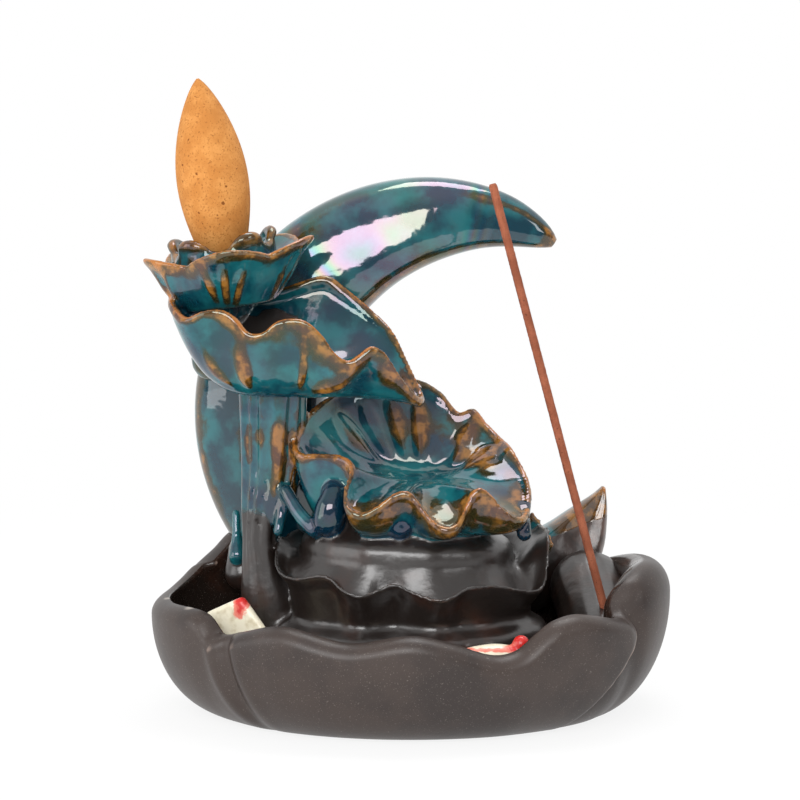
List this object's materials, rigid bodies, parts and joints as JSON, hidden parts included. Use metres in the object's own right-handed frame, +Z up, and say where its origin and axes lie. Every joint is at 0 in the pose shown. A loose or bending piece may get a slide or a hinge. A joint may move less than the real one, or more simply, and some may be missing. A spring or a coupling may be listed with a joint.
{
  "type": "backflow incense burner",
  "caption": "Ceramic backflow incense burner: lobed leaf dish, stepped ledges, crescent moon, two curled leaves and a lotus cup with a cone, plus a stick and koi.",
  "frame": {"origin": "middle of the whole part's box, on the table plane under the foot ring", "axes": "+X to the right seen from the front, +Y to the back, +Z up; the basin opens to the front"},
  "size_m": [0.1067, 0.0825, 0.1276],
  "materials": {
    "glazed_clay": "gloss teal and brown glaze above, dark satin glaze below",
    "painted_clay": "cream with red brush marks",
    "pressed_powder": "matt pressed wood powder with fine pores",
    "stick_powder": "matt extruded wood powder"
  },
  "bodies": {
    "root": {"burner_body": "glazed_clay", "koi_left": "painted_clay", "koi_right": "painted_clay", "incense_cone": "pressed_powder", "incense_stick": "stick_powder"}
  },
  "joints": []
}
